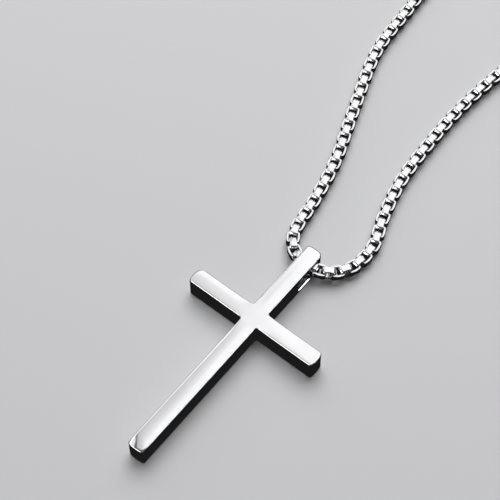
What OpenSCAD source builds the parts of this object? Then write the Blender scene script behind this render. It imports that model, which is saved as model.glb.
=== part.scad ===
// Cross pendant on a round box chain, lying face up.
// The cross lies on its flat back with its head towards +Y and its arms along X. The origin is on the
// back face, where the centre lines of the two bars cross. All sizes are in millimetres.

/* [Cross] */
// Height of the cross, from the foot to the top of the head
cross_h = 50; // [40:0.5:60]
// Length of the head, from the crossing to its top
head_l = 17.7; // [15:0.1:20]
// Width across the two arms
span = 27.8; // [20:0.1:34]
// Width of each bar, seen from the front
bar_w = 3.3; // [2.6:0.1:4.2]
// Thickness from the back to the crown of the front face
cross_t = 4.8; // [4.4:0.1:6]
// Height of the front face's gentle crown across a bar
crown = 0.08; // [0.05:0.01:0.2]
// Bulge of each bar's rounded end, seen from the front
end_bulge = 0.2; // [0.1:0.05:0.4]
// Radius of the crisp corners of the bar ends, seen from the front
corner_r = 0.35; // [0.25:0.05:0.6]
// Radius of the head's right corner
head_corner_r = 0.75; // [0.5:0.05:1]
// Radius of the left arm's far corner
arm_corner_r = 1.2; // [0.8:0.05:1.4]
// Radius of the front face's roll over each end
end_roll_r = 0.4; // [0.3:0.05:0.8]
// Radius of the long edges of the front face
edge_r = 0.14; // [0.1:0.02:0.3]
// Radius of the edges of the back
back_r = 0.2; // [0.1:0.02:0.35]

/* [Chain slot through the head] */
// Metal left between the slot and the top of the head
head_wall = 0.9; // [0.8:0.1:1.5]
// Length of the slot along the head
slot_l = 6.5; // [5.5:0.1:7]
// Metal left behind the slot
back_bar = 0.8; // [0.7:0.1:1.1]
// Room round the chain in the slot
slot_play = 0.15; // [0.12:0.01:0.18]
// Radius of the slot's inner corners
slot_r = 0.5; // [0.3:0.05:0.8]

/* [Box chain] */
// Outer width of the round box chain
chain_w = 2.7; // [2.6:0.05:2.75]
// Thickness of a link's metal
link_wall = 0.35; // [0.32:0.01:0.38]
// Distance from one link to the next
link_pitch = 1.55; // [1.5:0.01:1.6]
// Slack between two linked links along the chain
link_slack = 0.32; // [0.3:0.01:0.34]
// Room at each side of a link inside the next one
link_side_play = 0.37; // [0.36:0.01:0.4]
// Radius of a link's outer corners
link_corner_r = 0.75; // [0.6:0.05:0.9]
// Radius of the corners of a link's opening
link_in_r = 0.2; // [0.15:0.05:0.3]
// Extra length of the opening of the link at each end of the chain
end_link_extra = 0.7; // [0.65:0.05:1]
// Height of the lying chain over the surface
chain_rest = 0.02; // [0.02:0.01:0.05]
// Width of the loop that the chain lies in, between the middles of its two sides
loop_w = 130; // [120:1:140]
// Reach of the loop beyond the place where the chain passes the cross
loop_reach = 239.5; // [230:0.5:250]
// Length of chain on each side of the cross that is made link by link
linked_run = 73; // [40:1:80]
// Slack where the chain's end links, its tubes and its fittings meet
end_gap = 0.15; // [0.12:0.01:0.2]

/* [Clasp and rings] */
// Thickness of the clasp's body
clasp_t = 2.8; // [2.6:0.1:3.2]
// Thickness of the clasp's tail and hook
hook_t = 1; // [0.95:0.05:1.1]
// Outer radius of the round tail
tail_r = 2; // [1.9:0.05:2.1]
// Radius of the eye in the tail
eye_r = 1.25; // [1.2:0.01:1.3]
// Outer radius of the hook
hook_r = 3.2; // [3:0.1:3.5]
// Width of the hook's metal
hook_wall = 1.1; // [1:0.05:1.2]
// Distance from the eye to the centre of the hook
clasp_l = 7.4; // [7:0.1:8.5]
// Wire radius of the ring in the clasp's eye
small_ring_wire_r = 0.3; // [0.25:0.01:0.32]
// Radius of that ring, at the middle of its wire
small_ring_r = 1.6; // [1.55:0.01:1.7]
// Wire radius of the ring that the hook holds
large_ring_wire_r = 0.32; // [0.28:0.01:0.34]
// Radius of that ring, at the middle of its wire
large_ring_r = 2.15; // [2.1:0.01:2.2]
// Room in the small ring beyond the link that it holds
small_ring_room = 0.35; // [0.3:0.01:0.4]
// Room in the large ring beyond the link that it holds
large_ring_room = 0.72; // [0.7:0.01:0.74]
// Lean of the two rings out of the flat
ring_lean = 45; // [42:1:50]

/* [Hidden] */
$fn = 64;
// Overrun of a cutting solid past the face that it cuts
cut = 1;

// The cross
foot_l = cross_h - head_l;
slot_h = chain_w + 2 * slot_play;
slot_top = head_l - head_wall;
slot_mid_z = back_bar + slot_h / 2;
// Each half bar's length, the turn of its direction from +Y, and the radii of its end's two corners, the
// left one first as the front is seen with that end up
HALF_BARS = [
    [head_l, 0, corner_r, head_corner_r],
    [span / 2, 90, corner_r, arm_corner_r],
    [foot_l, 180, corner_r, corner_r],
    [span / 2, 270, corner_r, corner_r],
];

// A link: a ring of flat strip, whose faces follow the chain's round outline
chain_r = chain_w / 2;
link_in_w = chain_w - 2 * link_wall;
link_in_l = link_pitch + link_slack;
link_l = link_in_l + 2 * link_wall;
strip_w = link_in_w - 2 * link_side_play;
end_link_in_l = link_in_l + end_link_extra;
end_link_l = end_link_in_l + 2 * link_wall;
end_pitch = (end_link_in_l + link_in_l) / 2 - link_slack;

// The clasp lies along X. Its eye is clasp_eye_x beyond the middle of the chain's first link.
clasp_mid_z = clasp_t / 2;
hook_in_r = hook_r - hook_wall;
clasp_eye_x = tail_r + end_gap + end_link_l / 2;
clasp_reach = clasp_eye_x + clasp_l + hook_r + end_gap + end_link_l / 2;
hook_throat_r = 1.3;
hook_throat_x = 4.6;
// The thick body starts past the tail by this share of the tail's radius
body_start = 0.9;
// The thumb nib: radius, place along the body as a share of its length, and how far it sinks into the side
nib_r = 0.8;
nib_share = 0.55;
nib_sink = 0.35;

// The chain's route, from the clasp's tail round to its hook. Each row has X and Y from the place where
// the chain passes the slot, the lift as a share of the slot's height, and the roll of the links. The
// rows on each side of the clasp are drawn for one size of loop and follow the two sizes above. The
// last place is at the clasp's hook, clasp_reach beyond the first.
seat_gap = 0.05;
chain_seat_y = slot_top - chain_r - 2 * slot_play - seat_gap;
drawn_loop_w = 130;
drawn_reach = 240;
function in_loop(rows) =
    [for (row = rows) [row[0] * loop_w / drawn_loop_w, row[1] * loop_reach / drawn_reach, row[2], row[3]]];
far_end = [-16, loop_reach, 0, 45];
LEFT_SIDE = [
    [-26, 240, 0, 45], [-38, 236, 0, 45], [-52, 225, 0, 45], [-65, 207, 0, 40], [-73, 185, 0, 35],
    [-74, 162, 0, 30], [-67, 140, 0, 25], [-54, 121, 0, 20], [-40, 105, 0, 10], [-28, 90, 0, 0],
];
PAST_CROSS = [
    [-22.5, 75.2, 0, 0], [-20.8, 60.8, 0, 0], [-19.4, 47.8, 0, 0], [-14.7, 34.3, 0, 0],
    [-9.95, 21.8, 0, 0], [-7.6, 11.9, 0, 0], [-6.8, 6.6, 0.1, 0], [-5.6, 3.2, 0.45, 0],
    [-3.2, 0.8, 0.85, 0], [0, 0, 1, 0], [3.2, 0.8, 0.85, 0], [5.5, 2.9, 0.45, 0], [6.8, 6.2, 0.1, 0],
    [6.8, 11.2, 0, 0], [4.6, 17.3, 0, 0], [2.4, 25.8, 0, 0], [1.5, 36.8, 0, 0], [1.5, 47.8, 0, 0],
    [2.8, 59.8, 0, 0], [5.3, 73.2, 0, 0],
];
RIGHT_SIDE = [
    [11.5, 89, 0, 5], [23, 104, 0, 10], [37, 120, 0, 15], [49, 139, 0, 20], [56, 162, 0, 30],
    [55, 185, 0, 35], [47, 207, 0, 40], [34, 225, 0, 45], [20, 236, 0, 45],
];
ROUTE = concat([far_end], in_loop(LEFT_SIDE), PAST_CROSS, in_loop(RIGHT_SIDE), [
    far_end + [clasp_reach + 10, 0, 0, 0], far_end + [clasp_reach, 0, 0, 0],
]);
// Height of the chain's middle where it lies, and what it rises by in the slot and at its two ends
lying_z = chain_r + chain_rest;
lift = slot_mid_z - lying_z;
end_lift = clasp_mid_z - lying_z;
route = [for (k = [0 : len(ROUTE) - 1]) let (p = ROUTE[k], end = k < 2 || k > len(ROUTE) - 3)
    [p[0], p[1] + chain_seat_y, lying_z + (end ? end_lift : p[2] * lift), p[3]]];

// A smooth curve through the rows of a list, at t from 0 to the last row (uniform Catmull-Rom)
function curve_at(rows, t) =
    let (i = max(0, min(floor(t), len(rows) - 2)), u = t - i, b = rows[i], c = rows[i + 1],
        a = i > 0 ? rows[i - 1] : 2 * b - c, d = i < len(rows) - 2 ? rows[i + 2] : 2 * c - b)
    (2 * b + (c - a) * u + (2 * a - 5 * b + 4 * c - d) * u * u + (3 * b - 3 * c + d - a) * u * u * u) / 2;
function place(row) = [row[0], row[1], max(row[2], lying_z)];

// Length run along the route at each of its samples, and the total
samples_per_row = 16;
sample_count = (len(route) - 1) * samples_per_row;
samples = [for (k = [0 : sample_count]) place(curve_at(route, k / samples_per_row))];
runs = [for (k = 0, run = 0; k <= sample_count;
    run = run + (k < sample_count ? norm(samples[k + 1] - samples[k]) : 0), k = k + 1) run];
run_to_row = [for (k = [0 : sample_count]) [runs[k], k / samples_per_row]];
row_to_run = [for (k = [0 : sample_count]) [k / samples_per_row, runs[k]]];
chain_l = runs[sample_count];

// The point of the route at a length along it, its direction and its roll
direction_step = 0.05;
function at_run(run) = curve_at(route, lookup(run, run_to_row));
function direction_at(run) =
    let (d = place(at_run(min(run + direction_step, chain_l))) - place(at_run(max(run - direction_step, 0))))
    d / norm(d);

// Links share the route evenly between the two end links, and their number is odd, so that the last
// one is turned as the first
link_count = 2 * round(((chain_l - 2 * end_pitch) / link_pitch + 2) / 2) + 1;
even_pitch = (chain_l - 2 * end_pitch) / (link_count - 3);
function run_of(k) = k == 0 ? 0 : k == link_count - 1 ? chain_l : end_pitch + (k - 1) * even_pitch;
slot_row = [for (k = [0 : len(ROUTE) - 1]) if (ROUTE[k][2] == 1) k][0];
slot_run = lookup(slot_row, row_to_run);
first_linked = 1 + ceil((slot_run - linked_run - end_pitch) / even_pitch);
last_linked = 1 + floor((slot_run + linked_run - end_pitch) / even_pitch);

// The tubes that stand for the rest of the chain
tube_sides = 8;
tube_ring_step = 6.2;
tube_end_gap = link_l / 2 + end_gap;
tube_start_gap = end_link_l / 2 + end_gap;

// A rectangle with rounded corners, centred
module rounded_rect(w, h, r) {
    square([w - 2 * r, h], center = true);
    square([w, h - 2 * r], center = true);
    for (x = [-1, 1], y = [-1, 1]) translate([x * (w / 2 - r), y * (h / 2 - r)]) circle(r);
}

// Right half of the plan of a bar's end, with one rounded corner
module end_side(l, r) {
    translate([0, l - bar_w]) square([bar_w / 2, bar_w - r]);
    translate([0, l - bar_w]) square([bar_w / 2 - r, bar_w]);
    translate([bar_w / 2 - r, l - r]) circle(r);
}

// Plan of a bar that runs from y = 0 to y = l, with a bulging end
module half_bar_plan(l, left_r, right_r) {
    bulge_r = (bar_w * bar_w / 4 + end_bulge * end_bulge) / (2 * end_bulge);
    translate([-bar_w / 2, 0]) square([bar_w, l - bar_w]);
    intersection() {
        union() {
            end_side(l, right_r);
            mirror([1, 0, 0]) end_side(l, left_r);
        }
        translate([0, l - bulge_r]) circle(bulge_r, $fn = 128);
    }
}

// Section across a bar, back edge at y = 0: rounded edges and a crowned front
module bar_section() {
    crown_r = (bar_w * bar_w / 4 + crown * crown) / (2 * crown);
    intersection() {
        union() {
            translate([0, back_r + cross_t / 4]) rounded_rect(bar_w, 2 * back_r + cross_t / 2, back_r);
            translate([0, (cross_t - crown) * 0.6]) rounded_rect(bar_w, (cross_t - crown) * 0.8, edge_r);
            translate([-bar_w / 2 + edge_r, cross_t / 2]) square([bar_w - 2 * edge_r, cross_t / 2]);
        }
        translate([0, cross_t - crown_r]) circle(crown_r, $fn = 256);
    }
}

// Section along a bar from x = 0 to x = l, with the front face rolled over the end
module half_bar_side(l) {
    translate([-cut, 0]) square([l - end_roll_r + cut, cross_t + cut]);
    translate([-cut, 0]) square([l + cut, cross_t - crown / 2 - end_roll_r]);
    translate([l - end_roll_r, cross_t - crown / 2 - end_roll_r]) circle(end_roll_r);
}

// One half of a bar, from the crossing to y = l
module half_bar(l, left_r, right_r) {
    intersection() {
        linear_extrude(cross_t + cut) half_bar_plan(l, left_r, right_r);
        translate([0, l + cut, 0]) rotate([90, 0, 0]) linear_extrude(l + 2 * cut) bar_section();
        rotate([0, 0, 90]) rotate([90, 0, 0])
            translate([0, 0, -bar_w]) linear_extrude(2 * bar_w) half_bar_side(l);
    }
}

// The cross in one piece, with the slot from side to side through its head
module cross() {
    color("gainsboro") difference() {
        for (bar = HALF_BARS) rotate([0, 0, bar[1]]) half_bar(bar[0], bar[2], bar[3]);
        translate([-bar_w / 2 - cut, slot_top - slot_l / 2, slot_mid_z]) rotate([90, 0, 90])
            linear_extrude(bar_w + 2 * cut) rounded_rect(slot_l, slot_h, slot_r);
    }
}

// One link with an opening of length in_l, centred, lying flat with the chain's direction along X
module link(in_l) {
    l = in_l + 2 * link_wall;
    intersection() {
        translate([0, 0, -strip_w / 2]) linear_extrude(strip_w) difference() {
            rounded_rect(l, chain_w, link_corner_r);
            rounded_rect(in_l, link_in_w, link_in_r);
        }
        translate([-l / 2 - cut, 0, 0]) rotate([0, 90, 0]) cylinder(h = l + 2 * cut, r = chain_r);
    }
}

// Link number k at its place on the route, each one turned a quarter from the one before
module placed_link(k) {
    run = run_of(k);
    d = direction_at(run);
    translate(place(at_run(run)))
        rotate([at_run(run)[3] + (k % 2) * 90, -asin(d[2]), atan2(d[1], d[0])])
            link(k == 0 || k == link_count - 1 ? end_link_in_l : link_in_l);
}

// The chain where it shows: from end to end through the slot
module chain_links() {
    color("silver") for (k = [first_linked : last_linked]) placed_link(k);
}

// One closed tube along the route between two lengths
module tube(from, to) {
    rings = max(2, round((to - from) / tube_ring_step) + 1);
    corner_reach = chain_r / cos(180 / tube_sides);
    points = [for (k = [0 : rings - 1]) let (
            run = from + (to - from) * k / (rings - 1),
            d = direction_at(run),
            side = cross([0, 0, 1], d) / norm(cross([0, 0, 1], d)),
            up = cross(d, side)
        ) for (j = [0 : tube_sides - 1]) let (a = (j + 0.5) * 360 / tube_sides)
            place(at_run(run)) + corner_reach * (cos(a) * side + sin(a) * up)];
    walls = [for (k = [0 : rings - 2], j = [0 : tube_sides - 1]) let (
            a = k * tube_sides + j, b = k * tube_sides + (j + 1) % tube_sides
        ) [a, a + tube_sides, b + tube_sides, b]];
    polyhedron(points, concat(walls,
        [[for (j = [0 : tube_sides - 1]) j]],
        [[for (j = [tube_sides - 1 : -1 : 0]) (rings - 1) * tube_sides + j]]), convexity = 4);
}

// The rest of the loop: a tube on each side of the clasp, and the link at each end of the chain
module chain_back() {
    color("darkgray") {
        placed_link(0);
        tube(tube_start_gap, run_of(first_linked) - tube_end_gap);
        tube(run_of(last_linked) + tube_end_gap, chain_l - tube_start_gap);
        placed_link(link_count - 1);
    }
}

// A ring of round wire that leans over and stands on the surface, x beyond the middle of the clasp's
// eye, with its plane through the clasp's centre line
module leaning_ring(x, r, wire_r) {
    rise = r * sin(ring_lean) + wire_r - clasp_mid_z;
    translate([x, rise / tan(ring_lean), rise]) rotate([ring_lean, 0, 0])
        rotate_extrude() translate([r, 0]) circle(wire_r, $fn = 32);
}

// Places a child whose origin is the middle of the clasp's eye
module at_clasp() {
    translate([far_end[0] + clasp_eye_x, far_end[1] + chain_seat_y, clasp_mid_z]) children();
}

// The ring that ties the chain's first link to the clasp's eye
module small_ring() {
    x = small_ring_r - small_ring_wire_r - small_ring_room - tail_r - end_gap - link_wall;
    color("silver") at_clasp() leaning_ring(x, small_ring_r, small_ring_wire_r);
}

// The ring that the hook holds, through the chain's last link
module large_ring() {
    x = clasp_l + hook_r + end_gap + link_wall + large_ring_room - large_ring_r + large_ring_wire_r;
    color("silver") at_clasp() leaning_ring(x, large_ring_r, large_ring_wire_r);
}

// Outline of the clasp: round tail with its eye, tapering body and ring-shaped hook
module clasp_outline() {
    difference() {
        union() {
            circle(tail_r);
            translate([clasp_l, 0]) circle(hook_r);
            polygon([[0, -tail_r], [clasp_l, -hook_r], [clasp_l, hook_r], [0, tail_r]]);
        }
        circle(eye_r);
        translate([clasp_l, 0]) circle(hook_in_r);
        translate([hook_throat_x, 0]) circle(hook_throat_r);
        translate([hook_throat_x, -hook_throat_r]) square([clasp_l - hook_throat_x, 2 * hook_throat_r]);
    }
}

// The clasp in one piece: a thick body along one side, with a thumb nib, and a thinner tail and hook
module clasp() {
    body_from = tail_r * body_start;
    body_side_y = tail_r + (hook_r - tail_r) * nib_share;
    color("silver") at_clasp() {
        translate([0, 0, -hook_t / 2]) linear_extrude(hook_t) clasp_outline();
        translate([0, 0, -clasp_t / 2]) linear_extrude(clasp_t) intersection() {
            clasp_outline();
            translate([body_from, -hook_r]) square([clasp_l - body_from, hook_r * 2]);
        }
        translate([clasp_l * nib_share, nib_sink - body_side_y - nib_r, 0]) sphere(nib_r);
    }
}

cross();
chain_links();
chain_back();
small_ring();
large_ring();
clasp();
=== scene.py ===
"""A plain steel cross on a round box chain, lying face up in soft studio light.

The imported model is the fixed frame: the cross lies on its flat back on z = 0 with its head towards +Y.
Sizes in the classes are millimetres, and every mesh is made in metres. The cross is one closed mesh of
numpy grids with a slot cut through its head. The chain is one mesh of separate links placed along the
solids' route. The clasp is made from its solid's faces with the edges rounded over, and its two rings
are the frame's own solids with a new finish.
"""

import logging
import math
from dataclasses import dataclass, field
from enum import Enum

import bpy
import numpy as np
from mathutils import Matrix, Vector


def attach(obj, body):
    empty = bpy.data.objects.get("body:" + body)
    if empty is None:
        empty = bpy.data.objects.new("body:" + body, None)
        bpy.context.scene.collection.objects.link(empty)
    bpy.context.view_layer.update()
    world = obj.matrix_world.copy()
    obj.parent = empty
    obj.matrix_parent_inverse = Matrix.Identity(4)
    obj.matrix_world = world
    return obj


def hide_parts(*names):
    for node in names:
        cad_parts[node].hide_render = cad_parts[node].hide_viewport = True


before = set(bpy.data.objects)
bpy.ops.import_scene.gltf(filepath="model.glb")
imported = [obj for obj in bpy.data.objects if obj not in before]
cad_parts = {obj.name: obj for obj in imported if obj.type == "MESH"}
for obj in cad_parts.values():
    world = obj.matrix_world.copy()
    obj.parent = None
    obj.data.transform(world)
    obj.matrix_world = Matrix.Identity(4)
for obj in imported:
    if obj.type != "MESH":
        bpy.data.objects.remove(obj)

MM = 0.001
TINY = 1e-9
LOG = logging.getLogger("cross_pendant")


class Slot(Enum):
    """Material slots of the record that the pieces take their finish from."""

    CROSS = "cross_steel"
    CHAIN = "chain_steel"


@dataclass(frozen=True)
class MetalFinish:
    """How one polished metal looks.

    Args:
        color: Linear base colour of the bare metal.
        shade: Linear base colour in its duller patches, and of the painted shade in its recesses.
        polish: Roughness of the mirror-polished faces.
        satin: Roughness of the finely brushed faces.
        spread: How far the roughness strays from those values over the piece.
        grain: Height of the brushing, in metres.
        dents: Height of the long soft waves left by polishing, in metres.
        recess_shade_and_rough: Strength of the painted shade in recesses, 0 to 1, which also roughens them.
    """

    color: tuple[float, float, float]
    shade: tuple[float, float, float]
    polish: float
    satin: float
    spread: float
    grain: float
    dents: float
    recess_shade_and_rough: float


CROSS_FINISH = MetalFinish(
    color=(0.90, 0.90, 0.91), shade=(0.82, 0.82, 0.835), polish=0.07, satin=0.12,
    spread=0.03, grain=0.0000012, dents=0.000006, recess_shade_and_rough=0.1,
)
# The chain's shade colour and its recess strength of 0.55 paint shade onto the links' inner faces.
CHAIN_FINISH = MetalFinish(
    color=(0.90, 0.90, 0.905), shade=(0.80, 0.80, 0.81), polish=0.08, satin=0.16,
    spread=0.05, grain=0.0000008, dents=0.000004, recess_shade_and_rough=0.55,
)


@dataclass(frozen=True)
class Noise:
    """One noise texture on stretched object coordinates.

    Args:
        scale: Cells a metre.
        detail: Octaves.
        stretch: Factors on the three coordinates. A small one draws the pattern out along its axis.
    """

    scale: float
    detail: float
    stretch: tuple[float, float, float] = (1.0, 1.0, 1.0)


@dataclass(frozen=True)
class Wear:
    """The marks of wear and polishing that both metals share.

    Args:
        patches: Patches of film.
        smears: Smears of the polish.
        waves: Long soft waves left by polishing.
        fine_y: Brushing along Y.
        fine_x: Brushing along X.
        pits: Fine pits.
        noise_middle: A noise's middle value.
        film_gain: Film added for each unit of the patches.
        film_shift: Film where the patches are zero.
        recess_rough: Roughness that a full tarnish adds in a recess.
        least_rough: Lowest roughness anywhere.
        pit_share: Depth of the pits, as a share of the brushing's.
    """

    patches: Noise = Noise(160.0, 3.0)
    smears: Noise = Noise(520.0, 4.0, (1.0, 0.6, 1.0))
    waves: Noise = Noise(260.0, 1.0)
    fine_y: Noise = Noise(9000.0, 2.0, (1.0, 0.03, 1.0))
    fine_x: Noise = Noise(9000.0, 2.0, (0.03, 1.0, 1.0))
    pits: Noise = Noise(3400.0, 1.0)
    noise_middle: float = 0.5
    film_gain: float = 1.6
    film_shift: float = -0.45
    # recess_rough: Roughness added in a recess where the painted recess shade is at full strength.
    recess_rough: float = 0.12
    least_rough: float = 0.03
    pit_share: float = 0.4


def linked(name: str, data: bpy.types.ID) -> bpy.types.Object:
    """Makes an object and links it to the scene.

    Args:
        name: Name of the object.
        data: Its mesh, light or camera.

    Returns:
        The object, at the origin.
    """
    obj = bpy.data.objects.new(name, data)
    bpy.context.scene.collection.objects.link(obj)
    return obj


def bake(obj: bpy.types.Object) -> bpy.types.Mesh:
    """Puts the result of an object's modifiers into its mesh and removes them.

    Args:
        obj: The object.

    Returns:
        The object's new mesh.
    """
    evaluated = obj.evaluated_get(bpy.context.evaluated_depsgraph_get())
    mesh = bpy.data.meshes.new_from_object(evaluated)
    obj.modifiers.clear()
    obj.data = mesh
    return mesh


@dataclass
class Grid:
    """Vertices and quads gathered piece by piece into one mesh.

    Args:
        points: Blocks of vertices, each (n, 3), in millimetres.
        quads: Blocks of faces, each (m, 4), indexing all the vertices.
        masks: Named per-vertex values, each a list of (n,) blocks.
        count: Number of vertices gathered so far.
    """

    points: list[np.ndarray] = field(default_factory=list)
    quads: list[np.ndarray] = field(default_factory=list)
    masks: dict[str, list[np.ndarray]] = field(default_factory=dict)
    count: int = 0

    def add(self, points: np.ndarray, quads: np.ndarray, **masks: np.ndarray) -> None:
        """Adds a block of vertices with its own faces.

        Args:
            points: (n, 3) vertices in millimetres.
            quads: (m, 4) faces that index the block from 0.
            **masks: Per-vertex values of the block.
        """
        self.points.append(points)
        self.quads.append(quads + self.count)
        for name, values in masks.items():
            self.masks.setdefault(name, []).append(values)
        self.count += len(points)

    def build(self, name: str, weld: float = 0.0) -> bpy.types.Object:
        """Makes the Blender object.

        To weld, places are rounded to whole steps of the given distance, and those that are then alike
        become one vertex. A quad that loses a corner by it stays as a triangle.

        Args:
            name: Name of the object and its mesh.
            weld: Distance of the weld in millimetres, or 0 to keep all vertices apart.

        Returns:
            The linked, smooth-shaded object.
        """
        points = np.concatenate(self.points) * MM
        quads = np.concatenate(self.quads)
        masks = {key: np.concatenate(blocks) for key, blocks in self.masks.items()}
        if weld > 0:
            keys = np.round(points / (weld * MM)).astype(np.int64)
            _, first, back = np.unique(keys, axis=0, return_index=True, return_inverse=True)
            points, quads = points[first], back.reshape(-1)[quads]
            masks = {key: values[first] for key, values in masks.items()}
        mesh = bpy.data.meshes.new(name)
        faces = [tuple(dict.fromkeys(quad)) for quad in quads.tolist()]
        mesh.from_pydata(points.tolist(), [], [face for face in faces if len(face) > 2])
        mesh.shade_smooth()
        for key, values in masks.items():
            layer = mesh.attributes.new(key, "FLOAT", "POINT")
            layer.data.foreach_set("value", values.astype(np.float32))
        mesh.update()
        return linked(name, mesh)


def sheet_quads(rows: int, columns: int, closed: bool = False) -> np.ndarray:
    """Faces of a grid of vertices stored row by row.

    Args:
        rows: Number of rows.
        columns: Number of vertices in a row.
        closed: Whether the last column joins the first.

    Returns:
        (m, 4) faces.
    """
    across = columns if closed else columns - 1
    row, column = np.meshgrid(np.arange(rows - 1), np.arange(across), indexing="ij")
    after = (column + 1) % columns
    corners = (row * columns + column, row * columns + after, (row + 1) * columns + after,
               (row + 1) * columns + column)
    return np.stack([corner.ravel() for corner in corners], axis=1)


@dataclass(frozen=True)
class Steel:
    """Builds one polished metal's node group and material.

    Args:
        name: Name of the material.
        finish: How the metal looks.
        wear: The marks of wear and polishing on it.
    """

    name: str
    finish: MetalFinish
    wear: Wear = Wear()

    @staticmethod
    def _math(tree: bpy.types.NodeTree, operation: str, *inputs: object) -> bpy.types.NodeSocket:
        """Adds a Math node.

        Args:
            tree: The node tree.
            operation: The node's operation.
            *inputs: Sockets or numbers for its inputs.

        Returns:
            The node's output.
        """
        node = tree.nodes.new("ShaderNodeMath")
        node.operation = operation
        for socket, value in zip(node.inputs, inputs):
            if isinstance(value, bpy.types.NodeSocket):
                tree.links.new(value, socket)
            else:
                socket.default_value = value
        return node.outputs["Value"]

    @staticmethod
    def _noise(tree: bpy.types.NodeTree, vector: bpy.types.NodeSocket, look: Noise) -> bpy.types.NodeSocket:
        """Adds a noise texture on stretched coordinates.

        Args:
            tree: The node tree.
            vector: Coordinates.
            look: Scale, detail and stretch of the noise.

        Returns:
            The noise value, about 0.2 to 0.8.
        """
        mapping = tree.nodes.new("ShaderNodeMapping")
        mapping.inputs["Scale"].default_value = look.stretch
        tree.links.new(vector, mapping.inputs["Vector"])
        noise = tree.nodes.new("ShaderNodeTexNoise")
        noise.inputs["Scale"].default_value = look.scale
        noise.inputs["Detail"].default_value = look.detail
        tree.links.new(mapping.outputs["Vector"], noise.inputs["Vector"])
        return noise.outputs["Fac"]

    def wear_group(self) -> bpy.types.NodeTree:
        """Makes the metal's node group of patches, brushing and polishing waves.

        The colour goes from bare metal to the duller shade, by dulling that grows with the patches and by
        painted shade that grows in recesses.
        The roughness goes from polish to satin with the face mask, and strays with smears,
        patches and recesses. The height adds up waves, brushing on satin faces, and pits.

        Returns:
            A group with the inputs Face, Recess and Along, and the outputs Colour, Roughness and Height.
        """
        finish, wear = self.finish, self.wear
        tree = bpy.data.node_groups.new(self.name + "_wear", "ShaderNodeTree")
        for label in ("Face", "Recess", "Along"):
            tree.interface.new_socket(label, in_out="INPUT", socket_type="NodeSocketFloat")
        tree.interface.new_socket("Colour", in_out="OUTPUT", socket_type="NodeSocketColor")
        for label in ("Roughness", "Height"):
            tree.interface.new_socket(label, in_out="OUTPUT", socket_type="NodeSocketFloat")
        inlet, outlet = tree.nodes.new("NodeGroupInput"), tree.nodes.new("NodeGroupOutput")
        place = tree.nodes.new("ShaderNodeTexCoord").outputs["Object"]
        face, recess, along = (inlet.outputs[label] for label in ("Face", "Recess", "Along"))

        patches, smears, waves, fine_y, fine_x, pits = (
            self._noise(tree, place, look)
            for look in (wear.patches, wear.smears, wear.waves, wear.fine_y, wear.fine_x, wear.pits)
        )
        turned = self._math(tree, "SUBTRACT", fine_x, fine_y)
        brushed = self._math(tree, "MULTIPLY_ADD", turned, along, fine_y)

        film_and_shade = self._math(tree, "MULTIPLY_ADD", patches, wear.film_gain, wear.film_shift)
        # Painted shade: the recess mask pushes the colour towards the shade colour on the links' inner
        # faces.
        film_and_shade = self._math(tree, "MULTIPLY_ADD", recess, finish.recess_shade_and_rough, film_and_shade)
        limit = tree.nodes.new("ShaderNodeClamp")
        tree.links.new(film_and_shade, limit.inputs["Value"])
        mix = tree.nodes.new("ShaderNodeMix")
        mix.data_type = "RGBA"
        # The dull colour serves both the duller patches and the painted shade in recesses.
        bare, dull = (socket for socket in mix.inputs if socket.type == "RGBA")
        mixed, = (socket for socket in mix.outputs if socket.type == "RGBA")
        bare.default_value, dull.default_value = (*finish.color, 1.0), (*finish.shade, 1.0)
        tree.links.new(limit.outputs["Result"], mix.inputs["Factor"])
        tree.links.new(mixed, outlet.inputs["Colour"])

        base = self._math(tree, "MULTIPLY_ADD", face, finish.satin - finish.polish, finish.polish)
        strayed = self._math(tree, "SUBTRACT", smears, wear.noise_middle)
        rough = self._math(tree, "MULTIPLY_ADD", strayed, 2.0 * finish.spread, base)
        dusty = self._math(tree, "SUBTRACT", patches, wear.noise_middle)
        rough = self._math(tree, "MULTIPLY_ADD", dusty, finish.spread, rough)
        rough = self._math(tree, "MULTIPLY_ADD", recess, wear.recess_rough * finish.recess_shade_and_rough, rough)
        rough = self._math(tree, "MAXIMUM", rough, wear.least_rough)
        tree.links.new(rough, outlet.inputs["Roughness"])

        grain = self._math(tree, "MULTIPLY", brushed, finish.grain)
        grain = self._math(tree, "MULTIPLY", grain, face)
        height = self._math(tree, "MULTIPLY_ADD", waves, finish.dents, grain)
        height = self._math(tree, "MULTIPLY_ADD", pits, wear.pit_share * finish.grain, height)
        tree.links.new(height, outlet.inputs["Height"])
        return tree

    def material(self, masks: tuple[str, ...] = ()) -> bpy.types.Material:
        """Makes the material.

        Args:
            masks: Names of the mesh's masks that the group reads, out of face, recess and along.

        Returns:
            The material.
        """
        made = bpy.data.materials.new(self.name)
        made.use_nodes = True
        tree = made.node_tree
        shader = tree.nodes["Principled BSDF"]
        shader.inputs["Metallic"].default_value = 1.0
        wear = tree.nodes.new("ShaderNodeGroup")
        wear.node_tree = self.wear_group()
        for mask in masks:
            layer = tree.nodes.new("ShaderNodeAttribute")
            layer.attribute_name = mask
            tree.links.new(layer.outputs["Fac"], wear.inputs[mask.capitalize()])
        bump = tree.nodes.new("ShaderNodeBump")
        bump.inputs["Distance"].default_value = 1.0
        tree.links.new(wear.outputs["Height"], bump.inputs["Height"])
        tree.links.new(wear.outputs["Colour"], shader.inputs["Base Color"])
        tree.links.new(wear.outputs["Roughness"], shader.inputs["Roughness"])
        tree.links.new(bump.outputs["Normal"], shader.inputs["Normal"])
        return made


@dataclass
class BarEnd:
    """One end of a bar, seen from the front with the end pointing up.

    Args:
        reach: Length from the crossing to the end.
        left_r: Radius of the left corner.
        right_r: Radius of the right corner.
        turn: Angle of the bar's direction from +Y, in degrees, counter-clockwise.
        roll_r: Radius of the front face's roll over the end.
        droop: Fall of the front face towards the right corner.
    """

    reach: float
    left_r: float
    right_r: float
    turn: float
    roll_r: float = 0.4
    droop: float = 0.0


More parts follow.
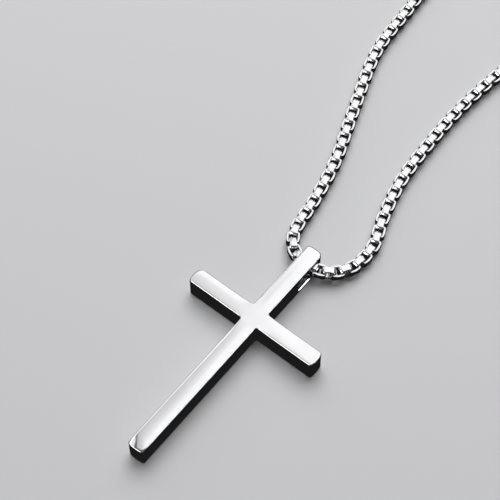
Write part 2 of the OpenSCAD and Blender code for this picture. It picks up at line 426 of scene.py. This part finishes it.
@dataclass
class CrossBody:
    """The cross: two crowned bars in one piece, with rolled ends and a slot through the head.

    Args:
        width: Width of each bar.
        thick: Thickness to the crown.
        crown: Height of the crown across a bar.
        flat_run: Run past the flat crossing in which the crown grows to its height.
        bulge: Bulge of each end, seen from the front.
        edge_r: Radius of the long front edges.
        fillet_r: Radius of the crossing's four inner corners, seen from the front.
        rim: Width of the steeper rim along each side of the front.
        rim_fall: Fall of the front across that rim.
        droop_run: Run of a drooping corner, from the end.
        droop_skew: How much of the distance to the side counts in that run.
        back_r: Radius of the back's edges.
        slot_y: Lowest and highest place of the slot along the head.
        slot_z: Lowest and highest place of the slot over the surface.
        slot_r: Radius of the slot's inner corners.
        slot_step: Angle between the points of those corners, in degrees.
        lip: Width of the chamfer round the slot's two mouths.
        ends: The four ends.
        lines: Places of the grid's lines between the middle and an edge, as shares of half the width.
        edge_lines: Number of lines over each long edge.
        fillet_rows: Number of rows past each fillet.
        row_step: Distance from row to row along the plain stretch of an arm.
        end_rows: Distances from the end of the rows that take on its outline, the farthest first.
        roll_rows: Number of rows over an end's roll.
        end_ease: Power by which those rows take on the outline.
        wall_rows: Places of the walls' rows, as shares of the way down.
        satin_fade: Height over which the front's satin fades out at its edges.
        weld: Distance within which the blocks' vertices become one.
        sharp: Least angle of a sharp edge, in degrees.
    """

    width: float = 3.3
    thick: float = 4.8
    crown: float = 0.08
    flat_run: float = 3.3
    bulge: float = 0.2
    edge_r: float = 0.14
    fillet_r: float = 0.5
    rim: float = 0.45
    rim_fall: float = 0.045
    droop_run: float = 3.1
    droop_skew: float = 0.45
    back_r: float = 0.2
    slot_y: tuple[float, float] = (10.3, 16.8)
    slot_z: tuple[float, float] = (0.8, 3.8)
    slot_r: float = 0.5
    slot_step: float = 11.25
    lip: float = 0.13
    ends: tuple[BarEnd, ...] = (
        BarEnd(17.7, 0.35, 0.75, 0.0),
        BarEnd(13.9, 0.35, 1.2, 90.0),
        BarEnd(32.3, 0.35, 0.3, 180.0, roll_r=0.12, droop=0.36),
        BarEnd(13.9, 0.45, 0.45, 270.0, roll_r=0.2),
    )
    lines: tuple[float, ...] = (0.15, 0.3, 0.45, 0.58, 0.68, 0.74, 0.8, 0.86)
    edge_lines: int = 6
    fillet_rows: int = 5
    row_step: float = 0.8
    end_rows: tuple[float, ...] = (3.2, 2.8, 2.4, 2.0, 1.7, 1.4, 1.1, 0.9, 0.7, 0.5)
    roll_rows: int = 9
    end_ease: float = 1.5
    wall_rows: tuple[float, ...] = (0.0, 0.03, 0.5, 0.97, 1.0)
    satin_fade: float = 0.08
    weld: float = 0.002
    sharp: float = 38.0

    @property
    def half(self) -> float:
        """Half the width of a bar."""
        return self.width / 2

    def across(self) -> np.ndarray:
        """Places of the grid's lines across a bar, closer at the edges, where they stand at even angles.

        Returns:
            Sorted places from minus to plus half the width.
        """
        turn = np.radians(np.linspace(0, 90, self.edge_lines))
        roll = self.half - self.edge_r + self.edge_r * np.sin(turn)
        side = np.concatenate([np.array(self.lines) * self.half, roll])
        return np.concatenate([-side[::-1], [0.0], side])

    def rows(self, end: BarEnd) -> np.ndarray:
        """Distances of an arm's rows from its end: close at the fillet, even, and close again at the end.

        Over the end's roll they stand at even angles of its quarter circle.

        Args:
            end: The arm's end.

        Returns:
            The distances, from the crossing down to 0 at the end.
        """
        long, zone = end.reach - self.half, self.end_rows[0]
        turn = np.radians(np.linspace(0, 90, self.roll_rows))
        fillet = long - np.linspace(0, self.fillet_r, self.fillet_rows)[:-1]
        steps = round((long - zone) / self.row_step)
        even = np.linspace(long - self.fillet_r, zone, steps + 1)[:-1]
        return np.concatenate([fillet, even, self.end_rows, end.roll_r * (1 - np.sin(turn))])

    def filleted(self, x: np.ndarray, y: np.ndarray) -> tuple[np.ndarray, np.ndarray]:
        """Moves points near the crossing's inner corners so that these become concave fillets.

        A point on a bar's side moves onto the fillet's quarter circle, at an angle that falls evenly with
        its distance past the crossing. The move fades out smoothly towards the middle of the bar.

        Args:
            x: Places across the bar.
            y: Places along the bar.

        Returns:
            The moved places across and along.
        """
        half, r = self.half, self.fillet_r
        past = np.clip((abs(y) - half) / r, 0, 1)
        turn = math.pi / 4 * (1 - past)
        out = r * (1 - np.cos(turn))
        on = r * (1 - np.sin(turn) - past)
        deep = np.maximum(half - abs(x), half - abs(y)) / (2 * r)
        share = 1 - np.clip(deep, 0, 1)
        share = share * share * (3 - 2 * share)
        return x + np.sign(x) * out * share, y + np.sign(y) * on * share

    def end_line(self, end: BarEnd, x: np.ndarray) -> np.ndarray:
        """Outline of an end, seen from the front.

        It is the reach, less a parabola for the bulge and a quarter circle at each corner.

        Args:
            end: The end.
            x: Places across the bar.

        Returns:
            How far the bar reaches at each place.
        """
        line = end.reach - self.bulge * (x / self.half) ** 2
        for radius, side in ((end.left_r, -x), (end.right_r, x)):
            into = np.clip(side - (self.half - radius), 0, radius)
            line = line - (radius - np.sqrt(radius**2 - into**2))
        return line

    def front(self, x: np.ndarray, y: np.ndarray, to_end: np.ndarray, end: BarEnd | None) -> np.ndarray:
        """Height of the front face.

        It is the thickness, less a parabola for the crown and a steeper one for the rim, which both grow
        from the flat crossing, and one for a drooping corner. Over the long edges and over the end it
        falls by quarter circles, whose falls are joined as the root of the sum of their squares.

        Args:
            x: Places across the bar.
            y: Places along the bar, 0 at the crossing.
            to_end: Distances to the end's outline.
            end: The bar's end, or None within the crossing.

        Returns:
            Heights over the surface.
        """
        half = self.half
        near = np.minimum(abs(x), abs(y)) if end is None else abs(x)
        into = np.clip(near - (half - self.edge_r), 0, self.edge_r)
        edge = self.edge_r - np.sqrt(np.maximum(self.edge_r**2 - into**2, 0))
        if end is None:
            return self.thick - edge
        past = np.clip((abs(y) - half) / self.flat_run, 0, 1)
        grown = past * past * (3 - 2 * past)
        corner = np.clip(1 - (to_end + self.droop_skew * (half - x)) / self.droop_run, 0, 1)
        steep = np.clip((abs(x) - half + self.rim) / self.rim, 0, 1)
        fall = self.crown * (x / half) ** 2 + self.rim_fall * steep**2
        top = self.thick - grown * fall - end.droop * corner**2
        into = np.clip(end.roll_r - to_end, 0, end.roll_r)
        roll = end.roll_r - np.sqrt(np.maximum(end.roll_r**2 - into**2, 0))
        return top - np.sqrt(edge**2 + roll**2)

    def back(self, x: np.ndarray, y: np.ndarray, to_end: np.ndarray, own_bar: bool) -> np.ndarray:
        """Height of the back face, which rises only at its edges, on a quarter circle.

        Args:
            x: Places across the bar.
            y: Places along the bar.
            to_end: Distances to the end's outline.
            own_bar: Whether only this bar's edges count.

        Returns:
            Heights over the surface.
        """
        near = abs(x) if own_bar else np.minimum(abs(x), abs(y))
        gap = np.minimum(self.half - near, to_end)
        into = np.clip(self.back_r - gap, 0, self.back_r)
        return self.back_r - np.sqrt(np.maximum(self.back_r**2 - into**2, 0))

    @staticmethod
    def _turned(x: np.ndarray, y: np.ndarray, z: np.ndarray, turn: float) -> np.ndarray:
        """Points of a bar's grid turned to its direction.

        Args:
            x: Places across.
            y: Places along.
            z: Heights.
            turn: Angle from +Y in degrees.

        Returns:
            (n, 3) points.
        """
        c, s = round(math.cos(math.radians(turn))), round(math.sin(math.radians(turn)))
        return np.stack([(c * x - s * y).ravel(), (s * x + c * y).ravel(), z.ravel()], axis=1)

    def _arm(self, grid: Grid, end: BarEnd) -> None:
        """Adds the front, back and walls of one arm.

        A row lies at its distance from a straight end. Near the end it takes on the end's outline by a
        share that grows to one there. The walls go straight down from the front's border to the back's.

        Args:
            grid: The mesh that is being gathered.
            end: The arm's end.
        """
        x, left = np.meshgrid(self.across(), self.rows(end))
        pull = np.clip(1 - left / self.end_rows[0], 0, 1) ** self.end_ease
        y = end.reach - left - (end.reach - self.end_line(end, x)) * pull
        over = self.front(x, y, left, end)
        under = self.back(x, y, left, True)
        x, y = self.filleted(x, y)
        rows, columns = x.shape
        quads = sheet_quads(rows, columns)
        along = np.full(x.size, 1.0 if end.turn % 180 else 0.0)
        satin_from = self.thick - self.crown - 0.5 * self.edge_r
        face = np.clip((over - satin_from) / self.satin_fade, 0, 1)
        grid.add(self._turned(x, y, over, end.turn), quads, face=face.ravel(), along=along)
        grid.add(self._turned(x, y, under, end.turn), quads[:, ::-1], face=np.zeros(x.size), along=along)

        first = np.arange(rows) * columns
        border = np.concatenate([first, first[-1] + np.arange(1, columns - 1), (first + columns - 1)[::-1]])
        high, low = over.ravel()[border], under.ravel()[border]
        z = high + (low - high) * np.array(self.wall_rows)[:, None]
        wall_x, wall_y = (np.broadcast_to(place.ravel()[border], z.shape) for place in (x, y))
        grid.add(self._turned(wall_x, wall_y, z, end.turn), sheet_quads(*z.shape),
                 face=np.zeros(z.size), along=np.full(z.size, along[0]))

    def mesh(self) -> Grid:
        """Gathers the closed mesh of the cross, without its slot: the crossing and the four arms.

        Returns:
            The gathered mesh.
        """
        grid = Grid()
        x, y = np.meshgrid(self.across(), self.across())
        far = np.full(x.shape, np.inf)
        quads = sheet_quads(*x.shape)
        zero = np.zeros(x.size)
        over, under = self.front(x, y, far, None), self.back(x, y, far, False)
        x, y = self.filleted(x, y)
        grid.add(self._turned(x, y, over, 0), quads, face=zero + 1, along=zero + 0.5)
        grid.add(self._turned(x, y, under, 0), quads[:, ::-1], face=zero, along=zero)
        for end in self.ends:
            self._arm(grid, end)
        return grid

    def slot_cutter(self) -> bpy.types.Object:
        """Makes the bar that cuts the slot through the head.

        Its section is a rectangle with quarter circles at its corners, whose centres stay where they are
        while their radius grows by the lip's width towards each mouth.

        Returns:
            The cutter, which is removed once it has cut.
        """
        (y0, y1), (z0, z1), r = self.slot_y, self.slot_z, self.slot_r
        turn = np.radians(np.arange(0, 360, self.slot_step))
        corner_y = np.where(np.cos(turn) >= -TINY, y1 - r, y0 + r)
        corner_z = np.where(np.sin(turn) >= -TINY, z1 - r, z0 + r)
        half, wide = self.half, r + 2 * self.lip
        radius = np.array([wide, r, r, wide])[:, None]
        x = np.array([-half - self.lip, self.lip - half, half - self.lip, half + self.lip])[:, None]
        y, z = corner_y + radius * np.cos(turn), corner_z + radius * np.sin(turn)
        points = np.stack([np.broadcast_to(x, y.shape), y, z], axis=2)
        stations, ring = len(x), np.arange(len(turn))
        faces = sheet_quads(stations, len(turn), closed=True).tolist()
        mouths = [ring.tolist(), (ring + (stations - 1) * len(turn))[::-1].tolist()]
        mesh = bpy.data.meshes.new("slot_cutter")
        mesh.from_pydata((points.reshape(-1, 3) * MM).tolist(), [], faces + mouths)
        mesh.update()
        return linked("slot_cutter", mesh)

    def dress(self, material: bpy.types.Material) -> bpy.types.Object:
        """Makes the finished cross.

        Args:
            material: The cross's metal.

        Returns:
            The object, riding on the frame in place of the solid.
        """
        obj = self.mesh().build("cross_body", weld=self.weld)
        cutter = self.slot_cutter()
        cut = obj.modifiers.new("slot", "BOOLEAN")
        cut.operation, cut.solver, cut.object = "DIFFERENCE", "EXACT", cutter
        mesh = bake(obj)
        bpy.data.objects.remove(cutter)
        mesh.set_sharp_from_angle(angle=math.radians(self.sharp))
        mesh.materials.clear()
        mesh.materials.append(material)
        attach(obj, "root")
        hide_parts("cross")
        return obj


# The rows of the chain's route are x and y from the place where the chain passes the slot, the lift as a
# share of its rise there, and the links' roll in degrees. They are the rows of the solids' route, except
# that the outermost rows of the two bends lie up to 0.09 mm further in, to keep the links inside the
# solids' box. The rows on each side of the clasp are drawn for a loop that reaches DRAWN_REACH.
DRAWN_REACH = 240.0
LEFT_SIDE = (
    (-26, 240, 0, 45), (-38, 236, 0, 45), (-52, 225, 0, 45), (-65, 207, 0, 40), (-72.99, 185, 0, 35),
    (-73.99, 162, 0, 30), (-67, 140, 0, 25), (-54, 121, 0, 20), (-40, 105, 0, 10), (-28, 90, 0, 0),
)
PAST_CROSS = (
    (-22.5, 75.2, 0, 0), (-20.8, 60.8, 0, 0), (-19.4, 47.8, 0, 0), (-14.7, 34.3, 0, 0),
    (-9.95, 21.8, 0, 0), (-7.6, 11.9, 0, 0), (-6.8, 6.6, 0.1, 0), (-5.6, 3.2, 0.45, 0),
    (-3.2, 0.8, 0.85, 0), (0, 0, 1, 0), (3.2, 0.8, 0.85, 0), (5.5, 2.9, 0.45, 0), (6.8, 6.2, 0.1, 0),
    (6.8, 11.2, 0, 0), (4.6, 17.3, 0, 0), (2.4, 25.8, 0, 0), (1.5, 36.8, 0, 0), (1.5, 47.8, 0, 0),
    (2.8, 59.8, 0, 0), (5.3, 73.2, 0, 0),
)
RIGHT_SIDE = (
    (11.5, 89, 0, 5), (23, 104, 0, 10), (37, 120, 0, 15), (49, 139, 0, 20), (55.91, 162, 0, 30),
    (54.91, 185, 0, 35), (47, 207, 0, 40), (34, 225, 0, 45), (20, 236, 0, 45),
)


@dataclass
class ChainRoute:
    """The line that the chain's links follow, as the solids' do.

    Args:
        seat_y: Y of the place where the chain passes the slot.
        lying_z: Height of the chain's middle where it lies.
        lift: Rise of the chain in the slot.
        end_lift: Rise at the clasp.
        reach: Reach of the loop along Y.
        tail_x: X of the end at the clasp's tail.
        clasp_reach: Distance from that end to the one at the clasp's hook.
        hook_run: Straight run of the chain before the hook.
        end_roll: Roll of the links at the clasp, in degrees.
        samples: Samples for each row of the route.
        step: Half the run over which a direction is measured.
    """

    seat_y: float = 15.1
    lying_z: float = 1.37
    lift: float = 0.93
    end_lift: float = 0.03
    reach: float = 239.5
    tail_x: float = -16.0
    clasp_reach: float = 16.15
    hook_run: float = 10.0
    end_roll: float = 45.0
    samples: int = 16
    step: float = 0.05

    def __post_init__(self) -> None:
        """Works out the rows' places, and the length run at each sample of the curve."""
        in_loop = (1.0, self.reach / DRAWN_REACH, 1.0, 1.0)
        tail = np.array([[self.tail_x, self.reach, 0.0, self.end_roll]])
        hook = tail + [[self.clasp_reach + self.hook_run, 0, 0, 0], [self.clasp_reach, 0, 0, 0]]
        left, right = (np.array(side) * in_loop for side in (LEFT_SIDE, RIGHT_SIDE))
        rows = np.concatenate([tail, left, PAST_CROSS, right, hook])
        rise = rows[:, 2] * self.lift
        rise[:2] = rise[-2:] = self.end_lift
        x, y, _, roll = rows.T
        self.rows = np.column_stack([x, y + self.seat_y, self.lying_z + rise, roll])
        self.steps = np.arange((len(rows) - 1) * self.samples + 1) / self.samples
        line = self.placed(self.curve(self.steps))
        lengths = np.linalg.norm(np.diff(line, axis=0), axis=1)
        self.runs = np.concatenate([[0.0], np.cumsum(lengths)])

    @property
    def length(self) -> float:
        """Length of the route in millimetres."""
        return float(self.runs[-1])

    def curve(self, steps: np.ndarray) -> np.ndarray:
        """Uniform Catmull-Rom curve through the rows: from row to row a cubic of the four rows about it.

        Past the first and the last row the line counts as going straight on.

        Args:
            steps: Places from 0 to the last row.

        Returns:
            (n, 4) x, y, z and roll.
        """
        rows, last = self.rows, len(self.rows) - 1
        k = np.clip(np.floor(steps).astype(int), 0, last - 1)
        u = (steps - k)[:, None]
        b, c = rows[k], rows[k + 1]
        a = np.where((k > 0)[:, None], rows[np.maximum(k - 1, 0)], 2 * b - c)
        d = np.where((k < last - 1)[:, None], rows[np.minimum(k + 2, last)], 2 * c - b)
        cubic = (2 * a - 5 * b + 4 * c - d) * u**2 + (3 * b - 3 * c + d - a) * u**3
        return (2 * b + (c - a) * u + cubic) / 2

    def placed(self, rows: np.ndarray) -> np.ndarray:
        """Points of curve rows, never lower than the lying chain.

        Args:
            rows: (n, 4) rows.

        Returns:
            (n, 3) points.
        """
        return np.column_stack([rows[:, :2], np.maximum(rows[:, 2], self.lying_z)])

    def at(self, runs: np.ndarray) -> tuple[np.ndarray, np.ndarray, np.ndarray]:
        """Points, directions and rolls at lengths along the route.

        A direction is that from the point a step behind to the point a step ahead.

        Args:
            runs: Lengths from the start, in millimetres.

        Returns:
            (n, 3) points, (n, 3) directions and (n,) rolls in degrees.
        """
        rows = self.curve(np.interp(runs, self.runs, self.steps))
        ahead = self.curve(np.interp(np.minimum(runs + self.step, self.length), self.runs, self.steps))
        behind = self.curve(np.interp(np.maximum(runs - self.step, 0), self.runs, self.steps))
        way = self.placed(ahead) - self.placed(behind)
        return self.placed(rows), way / np.linalg.norm(way, axis=1, keepdims=True), rows[:, 3]


def rotations(axis: int, angle: np.ndarray) -> np.ndarray:
    """Rotation matrices about one axis.

    Args:
        axis: 0, 1 or 2 for X, Y or Z.
        angle: (n,) angles in radians.

    Returns:
        (n, 3, 3) matrices.
    """
    after, last = (axis + 1) % 3, (axis + 2) % 3
    made = np.zeros((len(angle), 3, 3))
    made[:, axis, axis] = 1.0
    made[:, after, after] = made[:, last, last] = np.cos(angle)
    made[:, last, after] = np.sin(angle)
    made[:, after, last] = -np.sin(angle)
    return made


# Stations round a link: the direction outwards in degrees, and on which side of the link in X and in Y
# the centre of its corner is, with 0 at the middle of a long side.
STATIONS = (
    (0, 1, 1), (45, 1, 1), (90, 1, 1), (90, 0, 1), (90, -1, 1), (135, -1, 1), (180, -1, 1),
    (180, -1, -1), (225, -1, -1), (270, -1, -1), (270, 0, -1), (270, 1, -1), (315, 1, -1), (360, 1, -1),
)


@dataclass
class BoxChain:
    """The round box chain: links of waisted strip with a round outside, each turned a quarter.

    Args:
        route: The line that the links follow.
        width: Outer width of the chain.
        wall: Thickness of a link's metal.
        pitch: Distance from link to link in the solids' chain.
        length: Outer length of a link.
        strip: Width of a link's strip at its ends.
        waist: Width of the strip at the middle of a link's side.
        flat: Half width of the strip's flat middle, as a share of its half width.
        corner_r: Outer radius of a link's corners.
        end_extra: Extra length of the link at each end.
        end_pitch: Distance from an end link to its neighbour.
        sharp: Least angle of a sharp edge, in degrees.
    """

    route: ChainRoute
    width: float = 2.7
    wall: float = 0.4
    pitch: float = 1.55
    length: float = 2.57
    strip: float = 1.4
    waist: float = 1.15
    flat: float = 0.7
    corner_r: float = 0.5
    end_extra: float = 0.7
    end_pitch: float = 1.90
    sharp: float = 50.0

    def link(self, extra: float) -> tuple[np.ndarray, np.ndarray, np.ndarray]:
        """One link at the origin, its opening facing Z and the chain along X.

        Seen along Z, the link is a rounded rectangle. Its strip has six corners at each station: two
        inside, two where the outside starts on the chain's own round, and two at the flat middle.

        Args:
            extra: Length added to the link.

        Returns:
            (n, 3) points, (m, 4) faces and the (n,) recess mask, which marks the inner faces that get
            painted shade.
        """
        round_r, r = self.width / 2, self.corner_r
        half_l = (self.length + extra) / 2
        half_w = math.sqrt(round_r**2 - (self.flat * self.strip / 2) ** 2)
        degrees, side_x, side_y = np.array(STATIONS).T
        turn = np.radians(degrees)
        centre = np.stack([side_x * (half_l - r), side_y * (half_w - r)], axis=1)
        out = np.stack([np.cos(turn), np.sin(turn)], axis=1)
        half = np.where(side_x == 0, self.waist, self.strip) / 2
        z = half[:, None] * np.array([-1.0, 1.0, 1.0, self.flat, -self.flat, -1.0])
        edge_in = half_w - np.sqrt(round_r**2 - half**2)
        wall, none = np.full_like(half, self.wall), np.zeros_like(half)
        inset = np.stack([wall, wall, edge_in, none, none, edge_in], axis=1)
        plan = centre[:, None, :] + out[:, None, :] * (r - inset)[:, :, None]
        points = np.concatenate([plan, z[:, :, None]], axis=2)
        stations, corners_round = z.shape
        quads = sheet_quads(stations + 1, corners_round, closed=True) % z.size
        # The recess mask is 1 on the inner faces, where the chain's material paints shade and adds
        # roughness.
        recess = np.broadcast_to([1.0, 1.0, 0.0, 0.0, 0.0, 0.0], z.shape)
        return points.reshape(-1, 3), quads, recess.ravel()

    def count(self) -> int:
        """Number of links, odd so that the last is turned as the first."""
        return 2 * round(((self.route.length - 2 * self.end_pitch) / self.pitch + 2) / 2) + 1

    def frames(self) -> tuple[np.ndarray, np.ndarray]:
        """Places and turns of all the links, evenly spaced between the two end links.

        A link is turned about X by its roll, with a quarter more for every other link, then about Y and
        about Z until its length points along the route.

        Returns:
            (n, 3) places and (n, 3, 3) rotations.
        """
        count, total = self.count(), self.route.length
        even = (total - 2 * self.end_pitch) / (count - 3)
        runs = self.end_pitch + (np.arange(count) - 1) * even
        runs[0], runs[-1] = 0.0, total
        place, way, roll = self.route.at(runs)
        roll = np.radians(roll + (np.arange(count) % 2) * 90)
        rise, heading = np.arcsin(way[:, 2]), np.arctan2(way[:, 1], way[:, 0])
        return place, rotations(2, heading) @ rotations(1, -rise) @ rotations(0, roll)

    def dress(self, material: bpy.types.Material) -> bpy.types.Object:
        """Makes the whole chain.

        Args:
            material: The chain's metal.

        Returns:
            The object, riding on the frame in place of the chain's solids.
        """
        grid = Grid()
        place, turn = self.frames()
        last = len(place) - 1
        for chosen, extra in ((np.array([0, last]), self.end_extra), (np.arange(1, last), 0.0)):
            points, quads, recess = self.link(extra)
            moved = np.einsum("kij,nj->kni", turn[chosen], points) + place[chosen][:, None, :]
            shift = (np.arange(len(chosen)) * len(points))[:, None, None]
            faces = (quads[None] + shift).reshape(-1, 4)
            grid.add(moved.reshape(-1, 3), faces, recess=np.tile(recess, len(chosen)))
        obj = grid.build("box_chain")
        obj.data.set_sharp_from_angle(angle=math.radians(self.sharp))
        smooth = obj.modifiers.new("smooth", "WEIGHTED_NORMAL")
        smooth.keep_sharp = True
        obj.data.materials.append(material)
        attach(obj, "root")
        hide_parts("chain_links", "chain_back")
        return obj


@dataclass
class Fittings:
    """The clasp, with its edges rounded over, and its two rings, which keep the frame's own solids.

    Args:
        rings: Nodes of the two rings.
        edge_r: Width of the rounding of the clasp's edges.
        edge_steps: Number of faces across that rounding.
        least_angle: Smallest turn between two faces, in degrees, that is rounded.
        weld: Distance within which the solid's vertices become one.
        flat_angle: Turn between two faces, in degrees, up to which they are joined as one flat face.
    """

    rings: tuple[str, ...] = ("small_ring", "large_ring")
    edge_r: float = 0.22
    edge_steps: int = 3
    least_angle: float = 35.0
    weld: float = 0.004
    flat_angle: float = 1.0

    def _clasp(self) -> bpy.types.Object:
        """Makes the clasp from the solid's own faces, with rounded edges.

        Returns:
            The clasp's object.
        """
        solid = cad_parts["clasp"]
        mesh = solid.data.copy()
        mesh.transform(solid.matrix_world)
        obj = linked("clasp_body", mesh)
        joined = obj.modifiers.new("joined", "WELD")
        joined.merge_threshold = self.weld * MM
        flat = obj.modifiers.new("flat", "DECIMATE")
        flat.decimate_type, flat.angle_limit = "DISSOLVE", math.radians(self.flat_angle)
        rounded = obj.modifiers.new("rounded", "BEVEL")
        rounded.width, rounded.segments = self.edge_r * MM, self.edge_steps
        rounded.limit_method, rounded.angle_limit = "ANGLE", math.radians(self.least_angle)
        rounded.use_clamp_overlap = False
        mesh = bake(obj)
        mesh.shade_smooth()
        mesh.set_sharp_from_angle(angle=math.radians(self.least_angle))
        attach(obj, "root")
        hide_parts("clasp")
        return obj

    def dress(self, material: bpy.types.Material) -> list[bpy.types.Object]:
        """Gives the clasp and the rings their finish.

        Args:
            material: The fittings' metal.

        Returns:
            The dressed objects.
        """
        dressed = [self._clasp(), *(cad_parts[name] for name in self.rings)]
        for obj in dressed:
            obj.data.materials.clear()
            obj.data.materials.append(material)
        return dressed


@dataclass
class Panel:
    """A soft light.

    Args:
        name: Name of the light.
        place: Where its middle is, in metres.
        aim: The point that it faces.
        size: Width and height in metres.
        radiance: Brightness of its face.
        mirrored: Whether polished metal mirrors it.
        lighting: Whether it lights dull surfaces.
    """

    name: str
    place: tuple[float, float, float]
    aim: tuple[float, float, float]
    size: tuple[float, float]
    radiance: float
    mirrored: bool = True
    lighting: bool = True

    def make(self) -> None:
        """Adds the area light, whose power is its radiance times its area times pi."""
        data = bpy.data.lights.new(self.name, "AREA")
        data.shape = "RECTANGLE"
        data.size, data.size_y = self.size
        data.energy = self.radiance * math.pi * self.size[0] * self.size[1]
        obj = linked(self.name, data)
        obj.location = self.place
        obj.rotation_mode = "QUATERNION"
        obj.rotation_quaternion = (Vector(self.aim) - Vector(self.place)).to_track_quat("-Z", "Y")
        obj.visible_glossy, obj.visible_diffuse = self.mirrored, self.lighting


@dataclass
class Studio:
    """Floor, lights, surroundings and camera.

    Args:
        eye: Camera's place in metres.
        target: The point that it looks at.
        view_deg: Its angle of view.
        clip: Nearest and farthest distance that the camera sees, in metres.
        floor_half: Half the floor's side, in metres.
        floor_color: Linear colour of the floor.
        floor_rough: Roughness of the floor.
        floor_shine: Strength of the floor's sheen.
        mirrored_floor: Brightness of the floor where polished metal mirrors it.
        sky_low: Height in the sky, from 0 to 1, up to which it has its dim colour.
        sky_dim: Linear colour of the sky near the horizon.
        sky_high: Height from which the sky has its bright colour.
        sky_bright: Linear colour of the sky overhead.
        panels: The soft lights.
    """

    eye: tuple[float, float, float] = (0.0803, -0.10122, 0.24409)
    target: tuple[float, float, float] = (-0.01088, 0.01222, 0.0)
    view_deg: float = 18.396
    clip: tuple[float, float] = (0.01, 10.0)
    floor_half: float = 3.0
    floor_color: tuple[float, float, float] = (0.62, 0.62, 0.63)
    floor_rough: float = 0.9
    floor_shine: float = 0.1
    mirrored_floor: float = 0.012
    sky_low: float = 0.12
    sky_dim: tuple[float, float, float] = (0.03, 0.03, 0.032)
    sky_high: float = 0.8
    sky_bright: tuple[float, float, float] = (0.14, 0.14, 0.143)
    panels: tuple[Panel, ...] = (
        Panel("key_panel", (-0.0308, 0.5297, 0.56), (0.0674, 0.2969, 0.0158), (0.544, 0.95), 0.97),
        Panel("key_corner", (-0.3933, 0.5451, 0.488), (-0.2951, 0.3124, -0.0562), (0.112, 0.608), 0.97),
        Panel("key_border", (-0.1978, 0.1599, 0.688), (-0.0997, -0.0728, 0.1438), (0.0512, 0.342), 0.74),
        Panel("key_rim", (-0.2494, 0.1382, 0.688), (-0.1513, -0.0946, 0.1438), (0.0608, 0.342), 0.6),
        Panel("key_edge", (-0.4288, 0.3618, 0.56), (-0.3307, 0.129, 0.0158), (0.096, 0.95), 0.5),
        Panel("end_panel", (-0.455, -0.065, 0.60), (0.0, -0.031, 0.0), (0.20, 0.22), 0.75, lighting=False),
        Panel("side_panel", (-0.52, 0.07, 0.50), (0.0, -0.031, 0.0), (0.50, 0.27), 0.9, lighting=False),
        Panel("near_panel", (-0.25, -0.62, 0.42), (0.0, 0.0, 0.0), (0.70, 0.45), 4.0, lighting=False),
        Panel("right_panel", (0.62, 0.27, 0.24), (0.0, 0.0, 0.0), (0.30, 0.20), 4.0, lighting=False),
        Panel("left_panel", (-0.62, 0.22, 0.30), (0.0, 0.0, 0.0), (0.50, 0.22), 1.2),
        Panel("floor_fill", (-0.30, 0.45, 0.90), (0.0, 0.05, 0.0), (0.90, 0.90), 3.6, mirrored=False),
    )

    def floor(self) -> None:
        """Makes the pale floor, which is stage, and which polished metal mirrors as a dark one."""
        r = self.floor_half
        mesh = bpy.data.meshes.new("floor")
        mesh.from_pydata([(-r, -r, 0), (r, -r, 0), (r, r, 0), (-r, r, 0)], [], [(0, 1, 2, 3)])
        obj = linked("floor", mesh)
        made = bpy.data.materials.new("floor")
        made.use_nodes = True
        tree = made.node_tree
        shader = tree.nodes["Principled BSDF"]
        shader.inputs["Base Color"].default_value = (*self.floor_color, 1.0)
        shader.inputs["Roughness"].default_value = self.floor_rough
        shader.inputs["Specular IOR Level"].default_value = self.floor_shine
        path = tree.nodes.new("ShaderNodeLightPath")
        dark = tree.nodes.new("ShaderNodeEmission")
        dark.inputs["Color"].default_value = (*(self.mirrored_floor,) * 3, 1.0)
        mix = tree.nodes.new("ShaderNodeMixShader")
        share, seen, mirrored = mix.inputs
        tree.links.new(path.outputs["Is Glossy Ray"], share)
        tree.links.new(shader.outputs["BSDF"], seen)
        tree.links.new(dark.outputs["Emission"], mirrored)
        tree.links.new(mix.outputs["Shader"], tree.nodes["Material Output"].inputs["Surface"])
        mesh.materials.append(made)

    def surroundings(self) -> None:
        """Makes the soft sky: dim at the horizon and brighter overhead."""
        world = bpy.data.worlds.new("surroundings")
        world.use_nodes = True
        tree = world.node_tree
        place = tree.nodes.new("ShaderNodeTexCoord")
        split = tree.nodes.new("ShaderNodeSeparateXYZ")
        ramp = tree.nodes.new("ShaderNodeValToRGB")
        ramp.color_ramp.interpolation = "EASE"
        low, high = ramp.color_ramp.elements
        low.position, low.color = self.sky_low, (*self.sky_dim, 1.0)
        high.position, high.color = self.sky_high, (*self.sky_bright, 1.0)
        tree.links.new(place.outputs["Generated"], split.inputs["Vector"])
        tree.links.new(split.outputs["Z"], ramp.inputs["Fac"])
        tree.links.new(ramp.outputs["Color"], tree.nodes["Background"].inputs["Color"])
        bpy.context.scene.world = world

    def camera(self) -> None:
        """Makes the camera at the photographed angle."""
        data = bpy.data.cameras.new("camera")
        data.angle = math.radians(self.view_deg)
        data.clip_start, data.clip_end = self.clip
        obj = linked("camera", data)
        obj.location = self.eye
        obj.rotation_mode = "QUATERNION"
        obj.rotation_quaternion = (Vector(self.target) - Vector(self.eye)).to_track_quat("-Z", "Y")
        bpy.context.scene.camera = obj

    def make(self) -> None:
        """Sets the whole stage."""
        self.camera()
        self.floor()
        self.surroundings()
        for panel in self.panels:
            panel.make()
        bpy.context.scene.view_settings.view_transform = "Standard"


def corners(box: tuple[Vector, Vector]) -> list[list[float]]:
    """A box as plain lists.

    Args:
        box: Lowest and highest corner.

    Returns:
        The two corners.
    """
    return [[round(float(v), 6) for v in corner] for corner in box]


def main() -> None:
    """Makes the scene and reports each piece."""
    logging.basicConfig(level=logging.INFO, format="%(message)s")
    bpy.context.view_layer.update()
    Studio().make()
    cross_steel = Steel("cross_steel", CROSS_FINISH).material(("face", "along"))
    # The chain's material reads the recess mask for its painted shade on the links' inner faces.
    chain_steel = Steel("chain_steel", CHAIN_FINISH).material(("recess",))
    pieces = [CrossBody().dress(cross_steel), BoxChain(ChainRoute()).dress(chain_steel)]
    pieces += Fittings().dress(chain_steel)
    for piece in pieces:
        LOG.info("%s: %d faces", piece.name, len(piece.data.polygons))


if __name__ == "__main__":
    main()
